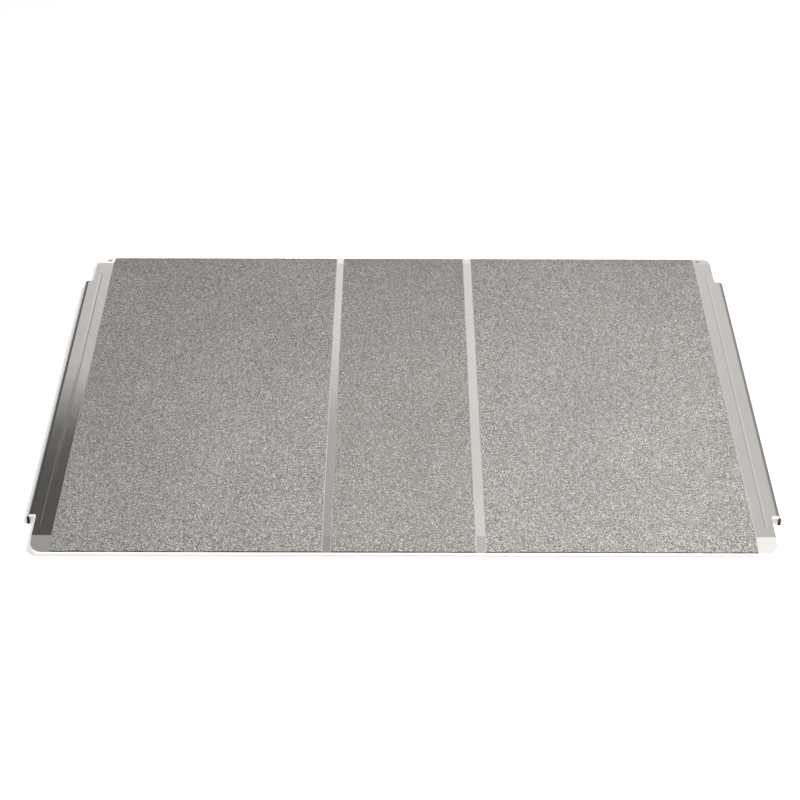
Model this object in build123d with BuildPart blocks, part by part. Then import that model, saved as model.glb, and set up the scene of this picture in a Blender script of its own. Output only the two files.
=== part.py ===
from build123d import *
from math import cos, radians, sin, tan
import os

# Portable aluminium loading ramp. Millimetres, +Z up, +X to the right, +Y from the near lip, where
# a wheel drives on, to the far lip, which rests on the step. The ramp stands level on the bottoms
# of its side flanges, with the origin on that surface under its middle. Its two support legs are
# folded up into the space under the deck.

# Deck: one bent sheet
ramp_width = 813.0           # outside the side flanges
ramp_length = 610.0          # from tip to tip of the lips
deck_height = 12.7           # flange bottoms to the sheet's top face
plate_t = 3.2                # sheet thickness
side_bend_r = 6.0            # outside radius of the flange bends
lip_run = 22.0               # level length of each end lip
lip_angle = 14.0             # degrees each lip slopes down
lip_bend_r = 8.0             # radius of the lip bends on the top face
lip_corner_r = 13.0          # rounded corners of the lips
near_setback = 58.0          # near tip to the flange's end
far_setback = 66.0           # far tip to the flange's end
notch_inset = 11.3           # flange's outside to the lip's side
notch_r = 3.0                # inner corner of each notch

# Pressed line along each side of the deck
mark_inset = 19.5            # in from the flange's outside
mark_near_gap = 37.0         # near lip's tip to the line's end
mark_far_gap = 49.0          # far lip's tip to the line's end
mark_tool_r = 14.0           # radius of the tool that pressed it
mark_depth = 0.12

# Screw holes in the far lip
lip_hole_r = 2.75
lip_hole_spread = 760.0      # centre to centre

# Grit tapes, laid over the deck and both lips
tape_t = 0.9
side_tape_w = 288.0
centre_tape_w = 154.6
strip_left_w = 8.3           # bare strip between the left and centre tapes
strip_right_w = 9.4          # bare strip between the centre and right tapes
tape_end_gap = 0.3           # tape end to the lip's tip

# Hat-section stiffeners under the deck
rib_pitch = 130.0            # centre to centre
rib_end_gap = 68.0           # lip's tip to the rib's end
rib_t = 2.0
rib_web_w = 30.0
rib_foot_w = 10.0            # each welded edge
rib_height = 8.2
rib_end_slope = 45.0         # degrees

# Clearances
floor_gap = 0.8              # lowest folded piece above the flange bottoms
deck_gap = 0.3               # highest folded piece under the deck
run_gap = 0.05               # radial, pin in a turning bore
side_gap = 0.1               # axial, beside a turning barrel
swing_gap = 0.4              # a turning piece to a fixed one

# Leg pivot and bracket
leg_spread = 630.0           # centre to centre of the two legs
pivot_end_gap = 100.0        # far lip's tip to the pivot
pivot_r = 2.5                # M5 clamp screw
ear_t = 4.0
base_t = 2.0
base_length = 29.0           # behind the back web's front face
web_t = 4.0                  # back web that stops the leg
ear_foot_length = 14.0       # ear's lower edge behind the pivot
ear_slope_run = 9.0

# Screw, nut and washers at the pivot
screw_head_r = 4.25
screw_head_l = 5.0
socket_across = 4.0
socket_depth = 2.6
nut_across = 8.0
nut_l = 5.0
screw_end = 1.0              # thread showing past the nut
washer_t = 1.2
washer_r = 4.0

# Bracket rivets, their heads flush under the tapes
rivet_r = 2.0
rivet_head_r = 3.8
rivet_tail_r = 3.3
rivet_tail_l = 1.6
rivet_pitch_x = 40.0
rivet_pitch_y = 12.0
rivet_web_gap = 0.6          # rivet tails to the back web

# Leg arm
arm_w = 50.0
arm_t = 4.0
arm_reach = 110.0            # pivot to foot pin
barrel_root_l = 14.0         # full-height part beside the barrel
prong_w = 8.0
prong_r = 3.8
fork_corner_r = 5.0

# Foot
foot_pin_r = 1.6
foot_pin_head_r = 2.4
foot_pin_head_l = 0.8
foot_length = 39.0           # beyond the pin
foot_heel = 1.0              # sole behind the pin
foot_t = 2.0
foot_side_gap = 1.0          # each side, between the prongs
foot_corner_r = 6.0
fork_end_gap = 3.0           # foot's toe to the fork's bottom when folded back
knuckle_r = 3.7
pin_wall = 1.2               # plate between the pin and the sole
pad_edge = 1.0               # sole in from the foot's edges

# Worked out from the sizes above
tilt = radians(lip_angle)
half_width = ramp_width / 2
half_length = ramp_length / 2
rib_length = ramp_length - 2 * rib_end_gap
under_z = deck_height - plate_t
flat_half = half_length - lip_run
lip_slope = lip_run / cos(tilt)
near_flange_y = near_setback - half_length
far_flange_y = half_length - far_setback
lip_half_width = half_width - notch_inset
tape_span = 2 * side_tape_w + centre_tape_w + strip_left_w + strip_right_w

pivot_y = half_length - pivot_end_gap
barrel_r = (under_z - deck_gap - floor_gap) / 2
pivot_z = floor_gap + barrel_r
ear_inner = arm_w / 2 + side_gap + washer_t
ear_outer = ear_inner + ear_t
web_y = pivot_y + barrel_r + swing_gap
rivet_y = web_y + web_t + rivet_web_gap + rivet_tail_r + rivet_pitch_y / 2
foot_y = pivot_y - arm_reach
foot_z = floor_gap + prong_r
sole_rise = under_z - deck_gap - foot_z
foot_top = foot_pin_r + run_gap + pin_wall
pad_t = sole_rise - foot_top
fork_w = arm_w - 2 * prong_w
foot_w = fork_w - 2 * foot_side_gap
fork_depth = foot_length + fork_end_gap

LEFT = -1
RIGHT = 1
SIDE_NAMES = {LEFT: "left", RIGHT: "right"}


def save(piece, name):
    """Label a finished piece and write it as its own file."""
    piece.part.label = name
    export_step(piece.part, f"parts/{name}.step")


def bent_line(end_gap, rise):
    """Near tip to far tip, in Y and Z, of a face that lies `rise` above the deck's top face."""
    along = lip_slope - end_gap
    bend_y = flat_half + rise * tan(tilt / 2)
    tip_y = flat_half + along * cos(tilt) + rise * sin(tilt)
    tip_z = deck_height - along * sin(tilt) + rise * cos(tilt)
    bend_z = deck_height + rise
    return [(-tip_y, tip_z), (-bend_y, bend_z), (bend_y, bend_z), (tip_y, tip_z)]


def bent_section(end_gap, low, high):
    """Side view of a bent layer between two heights above the deck's top face."""
    with BuildSketch(Plane.YZ) as section:
        with BuildLine():
            Polyline(*bent_line(end_gap, high), *reversed(bent_line(end_gap, low)), close=True)
        make_face()
        for rise in (low, high):
            bends = section.vertices().filter_by(lambda v: abs(v.Y - deck_height - rise) < 1e-4)
            fillet(bends, lip_bend_r + rise)
    return section.sketch


def make_deck():
    """The one bent sheet: lips fore and aft, flanges turned down at the sides."""
    with BuildPart() as deck_plate:
        add(bent_section(0.0, -plate_t, 0.0).moved(Location((-half_width, 0, 0))))
        extrude(amount=ramp_width, dir=(1, 0, 0))
        # Lips and deck between the notches, with rounded corners
        with BuildSketch(Plane.XY):
            RectangleRounded(2 * lip_half_width, ramp_length, lip_corner_r)
        extrude(amount=deck_height, mode=Mode.INTERSECT)
        # Side flanges with rounded bends
        with BuildSketch(Plane.XZ.offset(-far_flange_y)) as channel:
            with Locations((0, deck_height / 2)):
                Rectangle(ramp_width, deck_height)
            with Locations((0, under_z / 2)):
                Rectangle(ramp_width - 2 * plate_t, under_z, mode=Mode.SUBTRACT)
            fillet(channel.vertices().group_by(Axis.Y)[-2], side_bend_r - plate_t)
            fillet(channel.vertices().group_by(Axis.Y)[-1], side_bend_r)
        extrude(amount=far_flange_y - near_flange_y)
        # Inner corners of the four notches
        corners = deck_plate.edges().filter_by(Axis.Z).filter_by(
            lambda e: abs(abs(e.center().X) - lip_half_width) < 1e-3
        )
        fillet(corners, notch_r)
        # Pressed lines along the sides
        with BuildSketch(Plane.XZ.offset(mark_far_gap - half_length)):
            with Locations(
                (half_width - mark_inset, deck_height + mark_tool_r - mark_depth),
                (mark_inset - half_width, deck_height + mark_tool_r - mark_depth),
            ):
                Circle(mark_tool_r)
        extrude(amount=ramp_length - mark_near_gap - mark_far_gap, mode=Mode.SUBTRACT)
        # Screw holes, square to the far lip's top face
        hole_y = flat_half + lip_run / 2
        hole_z = deck_height - lip_run / 2 * tan(tilt)
        lip_face = Plane((0, hole_y, hole_z), x_dir=(1, 0, 0), z_dir=(0, sin(tilt), cos(tilt)))
        with BuildSketch(lip_face):
            with Locations((lip_hole_spread / 2, 0), (-lip_hole_spread / 2, 0)):
                Circle(lip_hole_r)
        extrude(amount=2 * plate_t, both=True, mode=Mode.SUBTRACT)
        # Countersunk holes for the bracket rivets
        with Locations((0, 0, deck_height)):
            for side in (LEFT, RIGHT):
                with Locations((side * leg_spread / 2, rivet_y, 0)):
                    with GridLocations(rivet_pitch_x, rivet_pitch_y, 2, 2):
                        CounterSinkHole(
                            rivet_r + run_gap, rivet_head_r + run_gap, depth=2 * plate_t, counter_sink_angle=90
                        )
    save(deck_plate, "deck_plate")


def make_tape(name, left_x, width):
    """One length of grit tape over the deck and down both lips."""
    with BuildPart() as tape:
        add(bent_section(tape_end_gap, 0.0, tape_t).moved(Location((left_x, 0, 0))))
        extrude(amount=width, dir=(1, 0, 0))
    save(tape, name)


def make_stiffener(name, centre_x):
    """Hat-section rib, welded by its two edges to the deck's underside."""
    low_z = under_z - rib_height
    hat_w = rib_web_w + 2 * rib_foot_w
    slope_run = rib_height / tan(radians(rib_end_slope))
    with BuildPart() as stiffener:
        with BuildSketch(Plane.XZ.offset(-rib_length / 2)):
            with Locations((centre_x, low_z + rib_height / 2)):
                Rectangle(rib_web_w, rib_height)
                Rectangle(rib_web_w - 2 * rib_t, rib_height, mode=Mode.SUBTRACT)
            with Locations((centre_x, low_z + rib_t / 2)):
                Rectangle(rib_web_w, rib_t)
            foot_x = (rib_web_w + rib_foot_w) / 2
            with Locations((centre_x - foot_x, under_z - rib_t / 2), (centre_x + foot_x, under_z - rib_t / 2)):
                Rectangle(rib_foot_w, rib_t)
        extrude(amount=rib_length)
        outer = stiffener.edges().filter_by(Axis.Y).filter_by(
            lambda e: abs(e.center().Z - low_z) < 1e-3
        )
        fillet(outer, rib_t)
        # Ends sloped up to the deck
        with BuildSketch(Plane.YZ.offset(centre_x - hat_w / 2)):
            with BuildLine():
                Polyline(
                    (-rib_length / 2, under_z),
                    (slope_run - rib_length / 2, low_z),
                    (rib_length / 2 - slope_run, low_z),
                    (rib_length / 2, under_z),
                    close=True,
                )
            make_face()
        extrude(amount=hat_w, mode=Mode.INTERSECT)
    save(stiffener, name)


def make_bracket(side):
    """Hinge bracket: two ears, a base on the deck's underside and a back web that stops the leg."""
    centre_x = side * leg_spread / 2
    with BuildPart() as leg_bracket:
        # Ears
        for inner_x in (centre_x - ear_outer, centre_x + ear_inner):
            with BuildSketch(Plane.YZ.offset(inner_x)):
                with Locations((pivot_y, pivot_z)):
                    Circle(barrel_r)
                with BuildLine():
                    Polyline(
                        (pivot_y - barrel_r, pivot_z),
                        (pivot_y - barrel_r, under_z),
                        (pivot_y + ear_foot_length + ear_slope_run, under_z),
                        (pivot_y + ear_foot_length, floor_gap),
                        (pivot_y, floor_gap),
                        close=True,
                    )
                make_face()
            extrude(amount=ear_t)
        # Base and back web
        with BuildSketch(Plane.YZ.offset(centre_x - ear_outer)):
            with Locations((web_y + base_length / 2, under_z - base_t / 2)):
                Rectangle(base_length, base_t)
            with Locations((web_y + web_t / 2, (floor_gap + under_z) / 2)):
                Rectangle(web_t, under_z - floor_gap)
        extrude(amount=2 * ear_outer)
        # Pivot bore through both ears
        with BuildSketch(Plane.YZ.offset(centre_x)):
            with Locations((pivot_y, pivot_z)):
                Circle(pivot_r + run_gap)
        extrude(amount=ear_outer, both=True, mode=Mode.SUBTRACT)
        # Rivet holes in the base
        with BuildSketch(Plane.XY.offset(under_z)):
            with Locations((centre_x, rivet_y)):
                with GridLocations(rivet_pitch_x, rivet_pitch_y, 2, 2):
                    Circle(rivet_r + run_gap)
        extrude(amount=-base_t, mode=Mode.SUBTRACT)
    save(leg_bracket, f"leg_bracket_{SIDE_NAMES[side]}")


def make_rivets(side):
    """Four flush rivets that hold a bracket under the deck."""
    head_l = rivet_head_r - rivet_r
    tail_z = under_z - base_t
    with BuildPart() as rivets:
        with BuildSketch(Plane.XZ) as profile:
            with BuildLine():
                Polyline(
                    (0, deck_height),
                    (rivet_head_r, deck_height),
                    (rivet_r, deck_height - head_l),
                    (rivet_r, tail_z),
                    (rivet_tail_r, tail_z),
                    (rivet_tail_r, tail_z - rivet_tail_l / 2),
                    (rivet_tail_r / 2, tail_z - rivet_tail_l),
                    (0, tail_z - rivet_tail_l),
                    close=True,
                )
            make_face()
        with Locations((side * leg_spread / 2, rivet_y, 0)):
            with GridLocations(rivet_pitch_x, rivet_pitch_y, 2, 2):
                add(revolve(profile.sketch, axis=Axis.Z, mode=Mode.PRIVATE))
    save(rivets, f"bracket_rivets_{SIDE_NAMES[side]}")


def make_pivot_hardware(side):
    """Clamp screw with its head outwards, lock nut, and the two washers beside the barrel."""
    centre_x = side * leg_spread / 2
    outward = Plane((centre_x, pivot_y, pivot_z), x_dir=(0, 1, 0), z_dir=(side, 0, 0))
    name = SIDE_NAMES[side]

    with BuildPart() as pivot_screw:
        with BuildSketch(outward.offset(ear_outer)):
            Circle(screw_head_r)
        extrude(amount=screw_head_l)
        with BuildSketch(outward.offset(ear_outer)):
            Circle(pivot_r)
        extrude(amount=-(2 * ear_outer + nut_l + screw_end))
        with BuildSketch(outward.offset(ear_outer + screw_head_l)):
            RegularPolygon(socket_across / 2, 6, major_radius=False)
        extrude(amount=-socket_depth, mode=Mode.SUBTRACT)
    save(pivot_screw, f"pivot_screw_{name}")

    with BuildPart() as pivot_nut:
        with BuildSketch(outward.offset(-ear_outer)):
            RegularPolygon(nut_across / 2, 6, major_radius=False)
            Circle(pivot_r, mode=Mode.SUBTRACT)
        extrude(amount=-nut_l)
    save(pivot_nut, f"pivot_nut_{name}")

    with BuildPart() as clamp_washers:
        for start in (ear_inner - washer_t, -ear_inner):
            with BuildSketch(outward.offset(start)):
                Circle(washer_r)
                Circle(pivot_r + run_gap, mode=Mode.SUBTRACT)
            extrude(amount=washer_t)
    save(clamp_washers, f"clamp_washers_{name}")


def make_leg_arm(side):
    """Forked leg: barrel at the pivot, flat web, and two prongs that hold the foot's pin."""
    centre_x = side * leg_spread / 2
    arm_mid = pivot_y - arm_reach / 2
    with BuildPart() as leg_arm:
        with BuildSketch(Plane.YZ.offset(centre_x - arm_w / 2)):
            with Locations((pivot_y, pivot_z)):
                Circle(barrel_r)
            with Locations((pivot_y - barrel_root_l / 2, pivot_z)):
                Rectangle(barrel_root_l, 2 * barrel_r)
            with Locations((arm_mid, pivot_z)):
                Rectangle(arm_reach, arm_t)
            with Locations((foot_y, foot_z)):
                Circle(prong_r)
        extrude(amount=arm_w)
        # Fork for the foot
        fork_l = fork_depth + prong_r
        with BuildSketch(Plane.XY) as fork:
            with Locations((centre_x, foot_y + fork_depth - fork_l / 2)):
                Rectangle(fork_w, fork_l)
            fillet(fork.vertices().group_by(Axis.Y)[-1], fork_corner_r)
        extrude(amount=under_z, mode=Mode.SUBTRACT)
        # Pivot bore and pin bore
        with BuildSketch(Plane.YZ.offset(centre_x)):
            with Locations((pivot_y, pivot_z)):
                Circle(pivot_r + run_gap)
            with Locations((foot_y, foot_z)):
                Circle(foot_pin_r)
        extrude(amount=arm_w, both=True, mode=Mode.SUBTRACT)
    save(leg_arm, f"leg_arm_{SIDE_NAMES[side]}")


def make_foot(side):
    """Swivelling foot, its pin and its rubber sole. Folded up, the sole faces the deck."""
    centre_x = side * leg_spread / 2
    name = SIDE_NAMES[side]
    toe_y = foot_y - foot_length
    heel_y = foot_y + foot_heel

    with BuildPart() as foot_plate:
        with BuildSketch(Plane.YZ.offset(centre_x - foot_w / 2)):
            with Locations((foot_y, foot_z)):
                Circle(knuckle_r)
            with Locations((foot_y, foot_z + foot_top + knuckle_r)):
                Rectangle(2 * knuckle_r, 2 * knuckle_r, mode=Mode.SUBTRACT)
            with Locations(((toe_y + foot_y) / 2, foot_z + foot_top - foot_t / 2)):
                Rectangle(foot_length, foot_t)
            with Locations((foot_y, foot_z)):
                Circle(foot_pin_r + run_gap, mode=Mode.SUBTRACT)
        extrude(amount=foot_w)
        toes = foot_plate.edges().filter_by(Axis.Z).group_by(Axis.Y)[0]
        fillet(toes, foot_corner_r)
    save(foot_plate, f"foot_plate_{name}")

    with BuildPart() as foot_pad:
        with BuildSketch(Plane.XY.offset(foot_z + foot_top)) as sole:
            with Locations((centre_x, (toe_y + pad_edge + heel_y) / 2)):
                Rectangle(foot_w - 2 * pad_edge, heel_y - toe_y - pad_edge)
            fillet(sole.vertices().group_by(Axis.Y)[0], foot_corner_r - pad_edge)
        extrude(amount=pad_t)
    save(foot_pad, f"foot_pad_{name}")

    with BuildPart() as foot_pin:
        with BuildSketch(Plane.YZ.offset(centre_x)):
            with Locations((foot_y, foot_z)):
                Circle(foot_pin_r)
        extrude(amount=arm_w / 2, both=True)
        for start in (centre_x - arm_w / 2 - foot_pin_head_l, centre_x + arm_w / 2):
            with BuildSketch(Plane.YZ.offset(start)):
                with Locations((foot_y, foot_z)):
                    Circle(foot_pin_head_r)
            extrude(amount=foot_pin_head_l)
    save(foot_pin, f"foot_pin_{name}")


os.makedirs("parts", exist_ok=True)

make_deck()

make_tape("grit_tape_left", -tape_span / 2, side_tape_w)
make_tape("grit_tape_centre", side_tape_w + strip_left_w - tape_span / 2, centre_tape_w)
make_tape("grit_tape_right", tape_span / 2 - side_tape_w, side_tape_w)

rib_places = ["outer_left", "inner_left", "inner_right", "outer_right"]
for number, place in enumerate(rib_places):
    make_stiffener(f"stiffener_{place}", (number - (len(rib_places) - 1) / 2) * rib_pitch)

for leg_side in (LEFT, RIGHT):
    make_bracket(leg_side)
    make_rivets(leg_side)
    make_pivot_hardware(leg_side)
    make_leg_arm(leg_side)
    make_foot(leg_side)
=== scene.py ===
import math

import bpy
import numpy as np
from mathutils import Matrix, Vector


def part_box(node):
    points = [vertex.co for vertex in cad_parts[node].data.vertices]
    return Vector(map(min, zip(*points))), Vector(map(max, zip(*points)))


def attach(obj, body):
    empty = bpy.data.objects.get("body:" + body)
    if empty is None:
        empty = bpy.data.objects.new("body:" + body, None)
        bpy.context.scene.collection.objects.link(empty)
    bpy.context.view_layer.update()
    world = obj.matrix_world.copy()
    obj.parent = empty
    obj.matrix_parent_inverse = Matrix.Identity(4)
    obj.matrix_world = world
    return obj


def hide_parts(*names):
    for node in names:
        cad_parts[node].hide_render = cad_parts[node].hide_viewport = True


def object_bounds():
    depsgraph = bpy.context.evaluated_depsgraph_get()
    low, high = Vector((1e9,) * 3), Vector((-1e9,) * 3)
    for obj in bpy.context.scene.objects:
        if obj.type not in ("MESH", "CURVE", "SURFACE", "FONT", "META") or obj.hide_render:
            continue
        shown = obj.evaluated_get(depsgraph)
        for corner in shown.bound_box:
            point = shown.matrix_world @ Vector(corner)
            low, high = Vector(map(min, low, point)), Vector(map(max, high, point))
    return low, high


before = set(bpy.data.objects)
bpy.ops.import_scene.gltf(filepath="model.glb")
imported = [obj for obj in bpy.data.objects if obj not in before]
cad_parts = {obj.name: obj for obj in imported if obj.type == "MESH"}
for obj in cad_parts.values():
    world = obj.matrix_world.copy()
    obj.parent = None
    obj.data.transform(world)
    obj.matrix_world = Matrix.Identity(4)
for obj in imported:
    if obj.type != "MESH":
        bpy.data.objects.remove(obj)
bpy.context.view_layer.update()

MM = 0.001
SIDES = ("left", "right")
RIBS = ("outer_left", "inner_left", "inner_right", "outer_right")

# ---------------------------------------------------------------- camera
CAMERA_TARGET = (-0.0045, -0.0278)     # X and Y of the point it faces, on the deck's top face
CAMERA_DISTANCE = 2.3716
CAMERA_ELEVATION = math.radians(34.42)
CAMERA_ROLL = math.radians(0.145)
CAMERA_LENS = 91.66                    # mm, on the sensor width below
CAMERA_SENSOR = 36.0
CAMERA_CLIP_END = 100.0


def make_camera():
    """A long lens in front of the ramp, looking down at its middle."""
    data = bpy.data.cameras.new("camera")
    data.lens = CAMERA_LENS
    data.sensor_width = CAMERA_SENSOR
    data.clip_end = CAMERA_CLIP_END
    camera = bpy.data.objects.new("camera", data)
    bpy.context.scene.collection.objects.link(camera)
    deck_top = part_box("deck_plate")[1].z
    stand = Matrix.Translation((
        CAMERA_TARGET[0],
        CAMERA_TARGET[1] - CAMERA_DISTANCE * math.cos(CAMERA_ELEVATION),
        deck_top + CAMERA_DISTANCE * math.sin(CAMERA_ELEVATION),
    ))
    pitch = Matrix.Rotation(math.pi / 2 - CAMERA_ELEVATION, 4, "X")
    roll = Matrix.Rotation(CAMERA_ROLL, 4, "Z")
    camera.matrix_world = stand @ pitch @ roll
    bpy.context.scene.camera = camera


# ---------------------------------------------------------------- node helpers
def new_material(name, values=None):
    """A material with only a Principled shader, its inputs set from values: (material, node tree, shader)."""
    material = bpy.data.materials.new(name)
    material.use_nodes = True
    tree = material.node_tree
    tree.nodes.clear()
    output = tree.nodes.new("ShaderNodeOutputMaterial")
    shader = tree.nodes.new("ShaderNodeBsdfPrincipled")
    for key, value in (values or {}).items():
        shader.inputs[key].default_value = value
    tree.links.new(shader.outputs["BSDF"], output.inputs["Surface"])
    return material, tree, shader


def put(tree, kind, links=(), **values):
    """A node of that kind. values set its inputs or properties by name, links are (input name or number, socket)."""
    made = tree.nodes.new(kind)
    for key, value in values.items():
        if key in made.inputs:
            made.inputs[key].default_value = value
        else:
            setattr(made, key, value)
    for key, socket in links:
        tree.links.new(socket, made.inputs[key])
    return made


def object_place(tree, scale):
    """The surface's own coordinates, in metres, times scale: one number, or one for each axis."""
    factors = scale if isinstance(scale, tuple) else (scale,) * 3
    where = put(tree, "ShaderNodeTexCoord").outputs["Object"]
    return put(tree, "ShaderNodeMapping", [("Vector", where)], Scale=factors).outputs["Vector"]


def noise(tree, scale, detail=4.0, rough=0.6, warp=0.0):
    """A noise value from 0 to 1. scale is in cycles per metre: one number, or one for each axis."""
    made = put(
        tree, "ShaderNodeTexNoise", [("Vector", object_place(tree, scale))],
        Scale=1.0, Detail=detail, Roughness=rough, Distortion=warp,
    )
    return made.outputs["Fac"]


def ramp(tree, socket, low, high, start=0.0, end=1.0, curve="LINEAR"):
    """socket's range low to high, spread over start to end and held there."""
    made = put(tree, "ShaderNodeMapRange", [("Value", socket)], interpolation_type=curve)
    for key, value in (("From Min", low), ("From Max", high), ("To Min", start), ("To Max", end)):
        made.inputs[key].default_value = value
    return made.outputs["Result"]


def spread(tree, socket, low, high, start=0.0, end=1.0):
    """Like ramp, with soft ends."""
    return ramp(tree, socket, low, high, start, end, curve="SMOOTHSTEP")


def mix(tree, factor, first, second, data_type="RGBA"):
    """A colour or value between first and second, each a colour or a socket."""
    kind = "RGBA" if data_type == "RGBA" else "VALUE"
    made = put(tree, "ShaderNodeMix", data_type=data_type)
    tree.links.new(factor, made.inputs["Factor"])
    for slot, given in (("A", first), ("B", second)):
        socket = next(s for s in made.inputs if s.name == slot and s.type == kind)
        if isinstance(given, tuple):
            socket.default_value = (*given, 1.0)
        else:
            tree.links.new(given, socket)
    return next(s for s in made.outputs if s.type == kind)


def combine(tree, first, second, operation="ADD"):
    """A socket and a second socket or number, joined by that operation."""
    made = put(tree, "ShaderNodeMath", [(0, first)], operation=operation)
    if isinstance(second, (int, float)):
        made.inputs[1].default_value = second
    else:
        tree.links.new(second, made.inputs[1])
    return made.outputs["Value"]


def times(tree, first, second):
    """A socket times a second socket or number."""
    return combine(tree, first, second, "MULTIPLY")


def surface(tree, shader, colour, rough, height, distance, strength=1.0):
    """Link the shader's colour and roughness, and raise it by height, from 0 to 1, times distance in metres."""
    tree.links.new(colour, shader.inputs["Base Color"])
    tree.links.new(rough, shader.inputs["Roughness"])
    made = put(tree, "ShaderNodeBump", [("Height", height)], Strength=strength, Distance=distance)
    tree.links.new(made.outputs["Normal"], shader.inputs["Normal"])


# ---------------------------------------------------------------- deck sheet's material
METAL = {"Metallic": 1.0}

# Where the sheet's cut ends and holes get painted shade
FLANGE_T = 3.2 * MM
NEAR_FLANGE_Y = -247.0 * MM
FAR_FLANGE_Y = 239.0 * MM
LIP_HOLE_X = 380.0 * MM              # on both sides
LIP_HOLE_Y = 294.0 * MM
LIP_HOLE_R = 2.75 * MM
HOLE_MARGIN = 0.25 * MM              # past the hole's wall
# share of full painted shade on the screw holes' walls
HOLE_SHADE_SHARE = 0.5
FLANGE_MARGIN = 0.3 * MM             # past the flange's inside face
CUT_DEPTH = 0.4 * MM                 # how far the painted shade of a cut reaches in from it
BEND_SHADE_START = 3.9 * MM                # in from the flange's outside: where the painted shade on the outside of the bend starts
BEND_SHADE_FULL = 2.9 * MM                 # and where it is full

SHEET_GRAIN = (1500.0, 18.0, 1500.0)
SHEET_SMUDGES = (9.0, 6.0, 9.0)
SHEET_SCRATCHES = (38.0, 2600.0, 38.0)
SHEET_CLEAN = (0.80, 0.772, 0.747)
SHEET_SMUDGED = (0.74, 0.714, 0.692)
SHEET_BRIGHT = (0.86, 0.83, 0.805)
SHEET_BEND_SHADE = (0.30, 0.290, 0.279)
# near-black painted shade for the flanges' end faces and the screw holes' walls
SHEET_CUT_SHADE = (0.035, 0.033, 0.031)
SHEET_RELIEF = 0.012 * MM


def painted_shade_at_cuts(tree):
    """How much painted shade the sheet's cut faces get, at the flanges' ends and in the two screw holes, and |X|."""
    deck_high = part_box("deck_plate")[1]
    where = put(tree, "ShaderNodeTexCoord").outputs["Object"]
    parts = put(tree, "ShaderNodeSeparateXYZ", [("Vector", where)]).outputs
    side = put(tree, "ShaderNodeMath", [(0, parts["X"])], operation="ABSOLUTE").outputs["Value"]

    in_flange = combine(tree, side, deck_high.x - FLANGE_T - FLANGE_MARGIN, "GREATER_THAN")
    under_deck = combine(tree, parts["Z"], deck_high.z - FLANGE_T, "LESS_THAN")
    near = combine(tree, parts["Y"], NEAR_FLANGE_Y + CUT_DEPTH, "LESS_THAN")
    far = combine(tree, parts["Y"], FAR_FLANGE_Y - CUT_DEPTH, "GREATER_THAN")
    ends = times(tree, combine(tree, near, far), times(tree, in_flange, under_deck))

    across = combine(tree, combine(tree, side, LIP_HOLE_X, "SUBTRACT"), 2.0, "POWER")
    along = combine(tree, combine(tree, parts["Y"], LIP_HOLE_Y, "SUBTRACT"), 2.0, "POWER")
    hole = combine(tree, combine(tree, across, along), (LIP_HOLE_R + HOLE_MARGIN) ** 2, "LESS_THAN")
    return combine(tree, ends, times(tree, hole, HOLE_SHADE_SHARE), "MAXIMUM"), side


def sheet_aluminium():
    """Mill-finished sheet: rolling grain along the ramp, handling smudges and fine scratches."""
    material, tree, shader = new_material("sheet_aluminium", METAL)
    grain = noise(tree, SHEET_GRAIN, detail=3.0)
    clouds = noise(tree, SHEET_SMUDGES, detail=5.0, rough=0.55, warp=0.6)
    scratch = noise(tree, SHEET_SCRATCHES, detail=2.0, rough=0.4, warp=0.25)
    line = ramp(tree, scratch, 0.70, 0.74)
    cut, side = painted_shade_at_cuts(tree)
    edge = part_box("deck_plate")[1].x
    bend_shade = ramp(tree, side, edge - BEND_SHADE_START, edge - BEND_SHADE_FULL)

    tone = mix(tree, ramp(tree, clouds, 0.35, 0.7), SHEET_CLEAN, SHEET_SMUDGED)
    tone = mix(tree, times(tree, grain, 0.25), tone, SHEET_BRIGHT)
    # painted shade: the outer bend and flange face darkened for the bend's dark reflection; the mask also makes them
    # rougher
    tone = mix(tree, bend_shade, tone, SHEET_BEND_SHADE)
    # painted shade: the flanges' end faces and the screw holes' walls darkened to near black
    tone = mix(tree, cut, tone, SHEET_CUT_SHADE)
    rough = ramp(tree, clouds, 0.3, 0.75, 0.05, 0.09)
    for cause, share in ((grain, 0.03), (line, 0.05), (cut, 0.5), (bend_shade, 0.12)):
        rough = combine(tree, rough, times(tree, cause, share))
    relief = combine(tree, times(tree, grain, 0.5), times(tree, line, -0.2))
    surface(tree, shader, tone, rough, relief, SHEET_RELIEF)
    return material


# ---------------------------------------------------------------- other metals
ZINC_BLUISH = (0.62, 0.64, 0.68)
ZINC_PALE = (0.70, 0.71, 0.72)
OXIDE_BLACK = (0.035, 0.035, 0.038)
OXIDE_RUBBED = (0.12, 0.11, 0.10)
WELD_BRIGHT = (0.74, 0.74, 0.73)
WELD_SOOT = (0.36, 0.35, 0.34)
FORMED_SHADE = 0.86                  # of the tone, in an extrusion's darker patches


def extruded_aluminium(name, tone, grain_scale, rough):
    """Extruded or formed aluminium with die lines along grain_scale's smallest axis."""
    material, tree, shader = new_material(name, METAL)
    lines = noise(tree, grain_scale)
    clouds = noise(tree, 30.0)
    darker = tuple(FORMED_SHADE * c for c in tone)
    colour = mix(tree, ramp(tree, clouds, 0.35, 0.7), tone, darker)
    level = combine(tree, ramp(tree, clouds, 0.3, 0.7, rough, rough + 0.1), times(tree, lines, 0.12))
    surface(tree, shader, colour, level, lines, 0.03 * MM)
    return material


def plated_steel():
    """Bright zinc plate: bluish, with a faint spangle and hazy patches."""
    material, tree, shader = new_material("plated_steel", METAL)
    cells = put(tree, "ShaderNodeTexVoronoi", [("Vector", object_place(tree, 420.0))], Scale=1.0)
    spangle = put(tree, "ShaderNodeSeparateColor", [("Color", cells.outputs["Color"])]).outputs["Red"]
    haze = noise(tree, 60.0)
    colour = mix(tree, spangle, ZINC_BLUISH, ZINC_PALE)
    level = combine(tree, ramp(tree, haze, 0.3, 0.7, 0.22, 0.36), times(tree, spangle, 0.06))
    surface(tree, shader, colour, level, noise(tree, 900.0, detail=2.0), 0.01 * MM)
    return material


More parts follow.
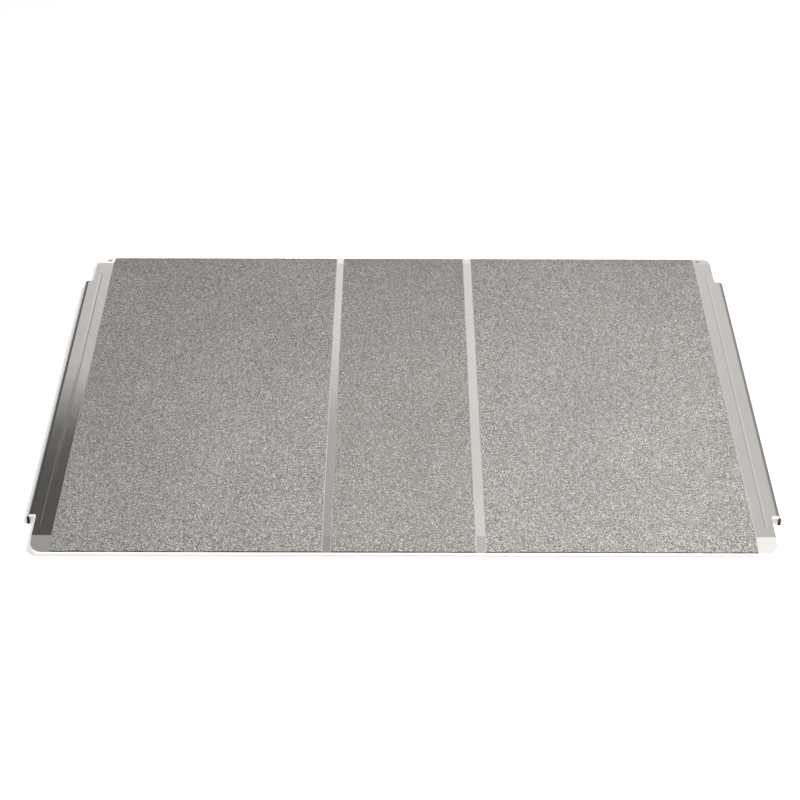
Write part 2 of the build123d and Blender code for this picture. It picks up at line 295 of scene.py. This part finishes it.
def black_oxide():
    """Oiled black oxide on steel, rubbed brown-grey on its high spots."""
    material, tree, shader = new_material("black_oxide", {"Metallic": 0.7})
    wear = noise(tree, 350.0, detail=5.0)
    colour = mix(tree, ramp(tree, wear, 0.55, 0.75), OXIDE_BLACK, OXIDE_RUBBED)
    surface(tree, shader, colour, ramp(tree, wear, 0.3, 0.8, 0.42, 0.28), wear, 0.01 * MM)
    return material


def weld_metal():
    """Aluminium weld bead: bright ripples with sooty patches."""
    material, tree, shader = new_material("weld_metal", METAL)
    soot = noise(tree, 160.0, detail=5.0)
    colour = mix(tree, ramp(tree, soot, 0.4, 0.75), WELD_BRIGHT, WELD_SOOT)
    surface(tree, shader, colour, ramp(tree, soot, 0.3, 0.8, 0.24, 0.5), noise(tree, 1200.0), 0.03 * MM)
    return material


# ---------------------------------------------------------------- rubber and tape materials
RUBBER_BLACK = (0.022, 0.022, 0.023)
RUBBER_DUSTY = (0.09, 0.088, 0.084)

GRAIN_SIZE = 0.78 * MM
FLASH_FROM, FLASH_FULL = 0.90, 0.96  # of each grain's second random number: the few given a painted glint
PAINTED_GLINT_TONE = (0.72, 0.71, 0.68)
PIT_FROM, PIT_FULL = 0.84, 0.92      # of its third: the few that are dark
PIT_SHADE = 0.25                     # of the grit's mean tone
DARK_REACH = 0.75                    # the darkest grains' share of the contrast

FILM_SMEARS = (400.0, 25.0, 400.0)
FILM_PALE = (0.35, 0.340, 0.325)
FILM_SMEARED = (0.27, 0.262, 0.250)
CUT_BLACK_AND_SHADE = (0.012, 0.011, 0.011)
CUT_GREY = (0.10, 0.095, 0.088)
CUT_PALE = (0.17, 0.163, 0.153)


def rubber():
    """Matt black moulded rubber with dust in its pores."""
    material, tree, shader = new_material("rubber")
    fine = noise(tree, 1600.0, detail=3.0)
    dust = noise(tree, 70.0, detail=6.0)
    colour = mix(tree, ramp(tree, dust, 0.5, 0.8, 0.0, 0.6), RUBBER_BLACK, RUBBER_DUSTY)
    surface(tree, shader, colour, ramp(tree, fine, 0.2, 0.8, 0.72, 0.9), fine, 0.05 * MM)
    return material


def grit(name, tone, warm, contrast):
    """Mineral grit set in resin: each grain has its own grey, and a few get a painted glint: a pale colour, with
    lower roughness.
    """
    material, tree, shader = new_material(name)
    where = object_place(tree, 1.0 / GRAIN_SIZE)
    grains = put(tree, "ShaderNodeTexVoronoi", [("Vector", where)], Scale=1.0, Randomness=1.0).outputs
    parts = put(tree, "ShaderNodeSeparateColor", [("Color", grains["Color"])]).outputs
    speck = parts["Red"]
    flash = ramp(tree, parts["Green"], FLASH_FROM, FLASH_FULL)
    pit = ramp(tree, parts["Blue"], PIT_FROM, PIT_FULL)
    clouds = noise(tree, (7.0, 5.0, 7.0))

    base = tuple(tone * w for w in warm)
    light = tuple((1.0 + contrast) * c for c in base)
    dark = tuple((1.0 - DARK_REACH * contrast) * c for c in base)
    colour = mix(tree, speck, dark, light)
    colour = mix(tree, times(tree, pit, 0.6), colour, tuple(PIT_SHADE * c for c in base))
    # painted glint: a few grains turned pale
    colour = mix(tree, times(tree, flash, 0.7), colour, PAINTED_GLINT_TONE)
    colour = mix(tree, ramp(tree, clouds, 0.35, 0.75, 0.0, 0.16), colour, dark)
    rough = ramp(tree, flash, 0.0, 1.0, 0.82, 0.38)
    height = combine(tree, times(tree, grains["Distance"], -1.0), times(tree, speck, 0.6))
    surface(tree, shader, colour, rough, height, 0.35 * MM, strength=0.8)
    return material


def tape_film():
    """The film's bare selvedge beside the grit: pale and slightly glossy."""
    material, tree, shader = new_material("tape_film")
    smears = noise(tree, FILM_SMEARS)
    colour = mix(tree, ramp(tree, smears, 0.3, 0.75), FILM_PALE, FILM_SMEARED)
    surface(tree, shader, colour, ramp(tree, smears, 0.3, 0.7, 0.35, 0.5), smears, 0.04 * MM)
    return material


def tape_cut_and_shade():
    """The scissor cut across film, adhesive and grit: dark, partly the adhesive's own black and partly painted shade
    of the tape's cut end, with paler grains left in it.
    """
    material, tree, shader = new_material("tape_cut_and_shade")
    stretches = noise(tree, 45.0, detail=3.0)
    fine = noise(tree, 900.0, detail=2.0)
    # near black: the adhesive's own black with painted shade on the cut end
    colour = mix(tree, ramp(tree, fine, 0.4, 0.7), CUT_BLACK_AND_SHADE, CUT_GREY)
    colour = mix(tree, ramp(tree, stretches, 0.52, 0.66, 0.0, 0.75), colour, CUT_PALE)
    surface(tree, shader, colour, ramp(tree, fine, 0.3, 0.7, 0.6, 0.85), fine, 0.15 * MM)
    return material


# ---------------------------------------------------------------- mesh helpers
def mesh_object(name, points, faces, materials, slots=None, smooth=False):
    """An object from points and faces. slots has one material number for each face."""
    mesh = bpy.data.meshes.new(name)
    mesh.from_pydata([tuple(p) for p in points], [], faces)
    for material in materials:
        mesh.materials.append(material)
    if slots is not None:
        mesh.polygons.foreach_set("material_index", slots)
    mesh.polygons.foreach_set("use_smooth", [smooth] * len(mesh.polygons))
    mesh.validate()
    mesh.update()
    made = bpy.data.objects.new(name, mesh)
    bpy.context.scene.collection.objects.link(made)
    return made


def node_points(node):
    """A CAD node's vertices as an array, in metres."""
    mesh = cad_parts[node].data
    points = np.zeros(len(mesh.vertices) * 3)
    mesh.vertices.foreach_get("co", points)
    return points.reshape(-1, 3)


def top_line(node):
    """Y and Z of a node's highest line from its near end to its far end, which must be convex."""
    side = sorted({(round(float(y), 7), round(float(z), 7)) for _, y, z in node_points(node)})
    line = []
    for y, z in side:
        while len(line) > 1:
            (y0, z0), (y1, z1) = line[-2:]
            if (y1 - y0) * (z - z0) - (z1 - z0) * (y - y0) < 0:
                break
            line.pop()
        line.append((y, z))
    return np.array(line)


# ---------------------------------------------------------------- grit tapes
TAPE_PITCH = 1.36 * MM       # between the grit mesh's points
TAPE_JITTER = 0.34           # of the pitch, either way
FILM_EDGE = 0.9 * MM         # selvedge with no grit
FILM_BEVEL = 0.15 * MM       # its outer edge's slope
FILM_RISE = 0.28 * MM
FILM_COLUMNS = 3             # columns of points on each side of the grit
GRIT_LOW = 0.70 * MM         # valley between grains, above the deck
GRIT_SKEW = 1.3              # above 1, more grains are low than high
GRIT_SHARE = 0.62            # of the height above the valley, for most grains
PROUD_SHARE = 0.38           # and the rest of it, for the few that stand proud
PROUD_FROM = 0.93            # all but this share of the grains
END_WAVE = 0.35 * MM         # how far the scissor cut wanders
END_WAVES = 24               # turning points across a tape
END_NIBBLE = 0.5             # of the wave, point by point
END_CRUSH = 0.4              # of the grit's height is left beside the cut
EDGE_WAVE = 0.22 * MM        # how far the coating's edge wanders
COAT, FILM, CUT = 0, 1, 2    # material numbers


def make_tape(place_name, coat, film, cut, seed):
    """One length of tape: film with bare selvedges, and a coat of uneven grit."""
    node = f"grit_tape_{place_name}"
    low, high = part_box(node)
    line = top_line(node)
    thickness = high.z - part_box("deck_plate")[1].z
    random = np.random.default_rng(seed)

    steps = np.hypot(*np.diff(line, axis=0).T)
    along = np.concatenate([[0.0], np.cumsum(steps)])
    rows = int(round(along[-1] / TAPE_PITCH))
    columns = int(round((high.x - low.x - 2 * FILM_EDGE) / TAPE_PITCH))
    stations = np.linspace(0.0, along[-1], rows + 1)
    y = np.interp(stations, along, line[:, 0])
    z = np.interp(stations, along, line[:, 1]) - thickness

    across = np.concatenate([
        [low.x, low.x + FILM_BEVEL, low.x + FILM_EDGE],
        np.linspace(low.x + FILM_EDGE, high.x - FILM_EDGE, columns + 1),
        [high.x - FILM_EDGE, high.x - FILM_BEVEL, high.x],
    ])
    width = len(across)
    grains = slice(FILM_COLUMNS, width - FILM_COLUMNS)
    inner_grains = slice(FILM_COLUMNS + 1, width - FILM_COLUMNS - 1)
    x_grid = np.tile(across, (rows + 1, 1))
    y_grid = np.tile(y[:, None], (1, width))
    z_grid = np.tile(z[:, None], (1, width))

    # Heights above the deck
    rise = np.zeros_like(z_grid)
    rise[:, 1:-1] = FILM_RISE
    bed = random.random((rows + 1, columns + 1))
    proud = random.random((rows + 1, columns + 1)) > PROUD_FROM
    share = GRIT_SHARE * bed ** GRIT_SKEW + PROUD_SHARE * proud * bed
    rise[:, grains] = GRIT_LOW + (thickness - GRIT_LOW) * share
    jitter = TAPE_JITTER * TAPE_PITCH
    x_grid[:, inner_grains] += random.uniform(-jitter, jitter, (rows + 1, columns - 1))
    y_grid[1:-1, grains] += random.uniform(-jitter, jitter, (rows - 1, columns + 1))
    # The coating's edge wanders a little along both sides
    for column, inward in ((FILM_COLUMNS, 1), (width - FILM_COLUMNS - 1, -1)):
        wander = random.uniform(0.0, 1.0, rows + 1) * EDGE_WAVE * inward
        x_grid[:, column] += wander
        x_grid[:, column - inward] += wander
    # Scissor cuts at both ends, always inside the sheet's end
    turns = np.linspace(0.0, 1.0, width)
    for row, inward in ((0, 1), (rows, -1)):
        wave = np.interp(turns, np.linspace(0, 1, END_WAVES), random.random(END_WAVES))
        nibble = random.random(width) * END_NIBBLE
        y_grid[row] += inward * END_WAVE * (wave + nibble)
        rise[row] = 0.0
        beside = rise[row + inward]
        rise[row + inward] = np.minimum(beside, FILM_RISE + END_CRUSH * beside)
    z_grid += rise

    corner = np.arange((rows + 1) * width).reshape(rows + 1, width)
    faces = []
    slots = []
    for row in range(rows):
        for column in range(width - 1):
            faces.append((corner[row, column], corner[row, column + 1],
                          corner[row + 1, column + 1], corner[row + 1, column]))
            if row in (0, rows - 1):
                slots.append(CUT)
            else:
                slots.append(COAT if FILM_COLUMNS <= column < width - FILM_COLUMNS - 1 else FILM)
    # The underside has one face for each row, from side to side, on its own points
    points = np.stack([x_grid, y_grid, z_grid], axis=-1).reshape(-1, 3)
    base = len(points)
    under = []
    for row in range(rows + 1):
        for column in (0, width - 1):
            bottom = z[row] if 0 < row < rows else z_grid[row, column]
            under.append((x_grid[row, column], y_grid[row, column], bottom))
    points = np.concatenate([points, np.array(under)])
    for row in range(rows):
        first = base + 2 * row
        faces.append((first + 2, first + 3, first + 1, first))
        slots.append(FILM)
    tape = mesh_object(f"tape_{place_name}", points, faces, [coat, film, cut], slots)
    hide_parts(node)
    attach(tape, "deck")


# ---------------------------------------------------------------- weld beads
BEAD_LENGTH = 24.0 * MM
BEAD_PITCH = 92.0 * MM
BEAD_SHIFT = 3.0             # mm along the rib, either way
BEAD_LEG = 2.4 * MM
BEAD_UNEVEN = 0.05           # of the leg, either way
BEAD_SQUARENESS = 6          # the higher, the blunter its ends
BEAD_FACE = 0.80             # of the leg, at the toes
BEAD_BULGE = 0.12            # and this much more in its middle
RIPPLE = 1.3 * MM
RIPPLE_HEIGHT = 0.09         # of the leg
BEAD_STATIONS = 44
BEAD_SECTION = 7


def bead_points(start_y, x, z, outward, random):
    """A rippled fillet bead along Y in the corner between a rib's edge and the deck's underside."""
    rows = []
    for station in range(BEAD_STATIONS + 1):
        t = station / BEAD_STATIONS
        taper = math.sqrt(max(0.0, 1.0 - (2.0 * t - 1.0) ** BEAD_SQUARENESS))
        ripple = 1.0 + RIPPLE_HEIGHT * math.sin(2.0 * math.pi * t * BEAD_LENGTH / RIPPLE)
        leg = BEAD_LEG * taper * ripple * (1.0 + random.uniform(-BEAD_UNEVEN, BEAD_UNEVEN))
        y = start_y + t * BEAD_LENGTH
        row = []
        for k in range(BEAD_SECTION + 1):
            angle = 0.5 * math.pi * k / BEAD_SECTION
            bulge = BEAD_FACE + BEAD_BULGE * math.sin(2.0 * angle)
            row.append((x + outward * leg * bulge * math.cos(angle), y, z - leg * bulge * math.sin(angle)))
        rows.append(row)
    return rows


def make_welds(place_name, material, seed):
    """Stitch welds along both edges of one stiffener."""
    low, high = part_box(f"stiffener_{place_name}")
    random = np.random.default_rng(seed)
    points, faces = [], []
    wide = BEAD_SECTION + 1
    count = int((high.y - low.y - BEAD_LENGTH) // BEAD_PITCH) + 1
    first_y = (low.y + high.y - (count - 1) * BEAD_PITCH - BEAD_LENGTH) / 2
    for x, outward in ((low.x, -1), (high.x, 1)):
        for number in range(count):
            shift = random.uniform(-BEAD_SHIFT, BEAD_SHIFT) * MM
            base = len(points)
            for row in bead_points(first_y + number * BEAD_PITCH + shift, x, high.z, outward, random):
                points.extend(row)
            for i in range(BEAD_STATIONS):
                start = base + i * wide
                for a in range(start, start + BEAD_SECTION):
                    faces.append((a, a + 1, a + wide + 1, a + wide))
                # One face closes the bead behind, from the deck to the rib
                faces.append((start + BEAD_SECTION, start, start + wide, start + wide + BEAD_SECTION))
    welds = mesh_object(f"welds_{place_name}", points, faces, [material], smooth=True)
    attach(welds, "deck")


# ---------------------------------------------------------------- foot soles
SOLE_RIDGES = 9
SOLE_CORNER = 5.0 * MM
SOLE_EDGE = 0.25 * MM        # how far the ribs drop at the sole's sides
SOLE_SECTION = 8
RIDGE_DEPTH = 0.7 * MM
# One ridge along the sole: the share of its pitch, and how far up it is, from 0 to 1
RIDGE_PROFILE = ((0.02, 0.0), (0.14, 1.0), (0.62, 1.0), (0.74, 0.0), (0.98, 0.0))


def make_sole(side, material):
    """The foot's ribbed rubber sole. Folded up, its ribs face the deck."""
    node = f"foot_pad_{side}"
    low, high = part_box(node)
    centre = (low.x + high.x) / 2

    def half_width_at(y):
        """The toe end is rounded, the heel end is square."""
        if y >= low.y + SOLE_CORNER:
            return (high.x - low.x) / 2
        drop = low.y + SOLE_CORNER - y
        return (high.x - low.x) / 2 - SOLE_CORNER + math.sqrt(max(0.0, SOLE_CORNER ** 2 - drop ** 2))

    pitch = (high.y - low.y) / SOLE_RIDGES
    stations = [
        (low.y + ridge * pitch + share * pitch, up)
        for ridge in range(SOLE_RIDGES)
        for share, up in RIDGE_PROFILE
    ]
    stations[0] = (low.y, 0.0)
    points, faces = [], []
    for y, up in stations:
        half = half_width_at(y)
        top = high.z - RIDGE_DEPTH * (1.0 - up)
        for k in range(SOLE_SECTION + 1):
            x = centre - half + 2.0 * half * k / SOLE_SECTION
            edge = SOLE_EDGE if k in (0, SOLE_SECTION) else 0.0
            points.append((x, y, top - edge))
        points.append((centre + half, y, low.z))
        points.append((centre - half, y, low.z))
    ring = SOLE_SECTION + 3
    last = (len(stations) - 1) * ring
    for start in range(0, last, ring):
        for k in range(ring):
            a = start + k
            b = start + (k + 1) % ring
            faces.append((a, b, b + ring, a + ring))
    faces.append(tuple(range(ring))[::-1])
    faces.append(tuple(range(last, last + ring)))
    sole = mesh_object(f"sole_{side}", points, faces, [material])
    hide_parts(node)
    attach(sole, f"foot_{side}")


# ---------------------------------------------------------------- studio
FLOOR_REACH = 14.0
FLOOR_PAINT = {
    "Base Color": (0.86, 0.86, 0.86, 1.0),
    "Roughness": 0.9,
    "Specular IOR Level": 0.1,
    "Emission Color": (1.0, 1.0, 1.0, 1.0),
    "Emission Strength": 0.4,
}


def make_floor():
    """A large pale floor under the ramp."""
    material = new_material("floor_paint", FLOOR_PAINT)[0]
    reach = FLOOR_REACH
    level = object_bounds()[0].z
    corners = [(-reach, -reach, level), (reach, -reach, level), (reach, reach, level), (-reach, reach, level)]
    mesh_object("floor", corners, [(0, 1, 2, 3)], [material])


# What the ramp's metal reflects. Angles are pairs in degrees, of azimuth (0 beyond the far lip, growing to the
# right) or elevation. Levels are how bright the studio is where its pair of angles starts and ends.
STUDIO_BRIGHT = 0.84                 # times every level
STUDIO_TINT = (1.0, 0.995, 0.985, 1.0)
WALL_LEFT = (-23.0, -5.0)
WALL_LEFT_RISE = (18.0, 29.0)
WALL_LEFT_LEVELS = (0.26, 0.07)      # low and high on the wall
WALL_RIGHT = (33.0, 0.0)
WALL_RIGHT_LEVEL = 0.35              # at the first angle, and 1 at the second
WALL_FOOT = (11.0, 4.0)              # elevation below which the wall's lit foot shows
WALL_FOOT_AZIMUTH = (-12.0, 12.0)
WALL_FOOT_LEVELS = (1.45, 0.86)
SHADE_ELEVATION = (33.45, 34.6)      # the dark part starts above this
SHADE_AZIMUTH = (-9.0, 4.0)          # from full shade to none
SHADE_LEFT = (-60.0, -95.0)          # and back towards bright at the side
SHADE_LEFT_SHARE = 0.6               # of the way
SHADE_LEVELS = (0.112, 0.16)
CEILING = (45.0, 60.0)               # elevation where the ceiling takes over
CEILING_AZIMUTH = (-4.0, 26.0)
CEILING_LEVELS = (0.48, 1.40)


def degrees(pair):
    """Two angles in radians."""
    return [math.radians(angle) for angle in pair]


def heights(pair):
    """How high two elevations are on the unit sphere."""
    return [math.sin(angle) for angle in degrees(pair)]


def make_world():
    """A pale studio: a bright wall at the back, and a dark opening above it on the left."""
    world = bpy.data.worlds.new("studio")
    bpy.context.scene.world = world
    world.use_nodes = True
    tree = world.node_tree
    tree.nodes.clear()
    direction = put(tree, "ShaderNodeTexCoord").outputs["Generated"]
    parts = put(tree, "ShaderNodeSeparateXYZ", [("Vector", direction)]).outputs
    azimuth = combine(tree, parts["X"], parts["Y"], "ARCTAN2")
    height = parts["Z"]

    left = combine(
        tree, spread(tree, azimuth, *degrees(WALL_LEFT)),
        spread(tree, height, *heights(WALL_LEFT_RISE), *WALL_LEFT_LEVELS), "MAXIMUM",
    )
    right = spread(tree, azimuth, *degrees(WALL_RIGHT), WALL_RIGHT_LEVEL)
    wall = times(tree, left, right)
    foot = spread(tree, azimuth, *degrees(WALL_FOOT_AZIMUTH), *WALL_FOOT_LEVELS)
    wall = mix(tree, spread(tree, height, *heights(WALL_FOOT)), wall, foot, "FLOAT")

    shade = spread(tree, height, *heights((SHADE_ELEVATION[1], CEILING[0])), *SHADE_LEVELS)
    to_right = spread(tree, azimuth, *degrees(SHADE_AZIMUTH))
    to_side = spread(tree, azimuth, *degrees(SHADE_LEFT), 0.0, SHADE_LEFT_SHARE)
    above = mix(tree, combine(tree, to_right, to_side, "MAXIMUM"), shade, right, "FLOAT")
    ceiling = spread(tree, azimuth, *degrees(CEILING_AZIMUTH), *CEILING_LEVELS)
    above = mix(tree, spread(tree, height, *heights(CEILING)), above, ceiling, "FLOAT")

    is_above = spread(tree, height, *heights(SHADE_ELEVATION))
    level = times(tree, mix(tree, is_above, wall, above, "FLOAT"), STUDIO_BRIGHT)
    # Seen directly, the studio is plain white
    seen = put(tree, "ShaderNodeLightPath").outputs["Is Camera Ray"]
    shown = combine(tree, level, seen, "MAXIMUM")
    background = put(tree, "ShaderNodeBackground", [("Strength", shown)], Color=STUDIO_TINT)
    output = tree.nodes.new("ShaderNodeOutputWorld")
    tree.links.new(background.outputs["Background"], output.inputs["Surface"])


def make_light(name, position, target, size, power, colour=(1.0, 1.0, 1.0)):
    """A square soft light that faces target."""
    data = bpy.data.lights.new(name, "AREA")
    data.size = size
    data.energy = power
    data.color = colour
    light = bpy.data.objects.new(name, data)
    bpy.context.scene.collection.objects.link(light)
    light.location = position
    aim = np.array(target) - np.array(position)
    level = math.hypot(aim[0], aim[1])
    light.rotation_euler = (math.atan2(level, -aim[2]), 0.0, math.atan2(aim[1], aim[0]) - math.pi / 2)


def make_lights():
    """A soft key beyond the near right corner, and a lamp over the right half of the deck."""
    make_light(
        "key", position=(1.25, -0.85, 1.35), target=(0.1, 0.0, 0.0), size=0.9, power=24.0,
        colour=(1.0, 0.985, 0.965),
    )
    make_light("top", position=(0.26, -0.25, 1.0), target=(0.26, -0.25, 0.0), size=0.5, power=11.5)


# ---------------------------------------------------------------- putting it together
def wear(node, material):
    """Give a CAD node that material in place of its packed one."""
    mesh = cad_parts[node].data
    mesh.materials.clear()
    mesh.materials.append(material)


def dress_cad():
    """Materials for every CAD node that stays in sight."""
    wear("deck_plate", sheet_aluminium())
    ribs = extruded_aluminium("rib_aluminium", (0.70, 0.70, 0.69), (700.0, 14.0, 700.0), rough=0.30)
    brackets = extruded_aluminium("bracket_aluminium", (0.66, 0.66, 0.67), (16.0, 800.0, 800.0), rough=0.32)
    legs = extruded_aluminium("leg_aluminium", (0.72, 0.72, 0.72), (18.0, 900.0, 900.0), rough=0.26)
    rivets = extruded_aluminium("rivet_aluminium", (0.62, 0.62, 0.62), (900.0, 900.0, 900.0), rough=0.28)
    zinc = plated_steel()
    black = black_oxide()
    for rib in RIBS:
        wear(f"stiffener_{rib}", ribs)
    for side in SIDES:
        wear(f"leg_bracket_{side}", brackets)
        wear(f"leg_arm_{side}", legs)
        wear(f"bracket_rivets_{side}", rivets)
        wear(f"pivot_screw_{side}", black)
        for part in ("pivot_nut", "clamp_washers", "foot_plate", "foot_pin"):
            wear(f"{part}_{side}", zinc)


def add_pieces():
    """The tapes and the soles, in place of their CAD nodes, and the weld beads."""
    film = tape_film()
    cut = tape_cut_and_shade()
    side_coat = grit("grit_side", tone=0.190, warm=(1.0, 0.960, 0.90), contrast=1.05)
    # the centre coat is the side coat made darker and warmer: painted shade for the side tapes' sheen
    centre_coat_painted_shade = grit("grit_centre", tone=0.178, warm=(1.0, 0.955, 0.89), contrast=0.80)
    for seed, (place_name, coat) in enumerate(
        (("left", side_coat), ("centre", centre_coat_painted_shade), ("right", side_coat)), start=11
    ):
        make_tape(place_name, coat, film, cut, seed)

    bead = weld_metal()
    for seed, rib in enumerate(RIBS, start=20):
        make_welds(rib, bead, seed)

    sole_rubber = rubber()
    for side in SIDES:
        make_sole(side, sole_rubber)


make_camera()
make_world()
make_lights()
make_floor()
dress_cad()
add_pieces()
bpy.context.scene.view_settings.view_transform = "Standard"
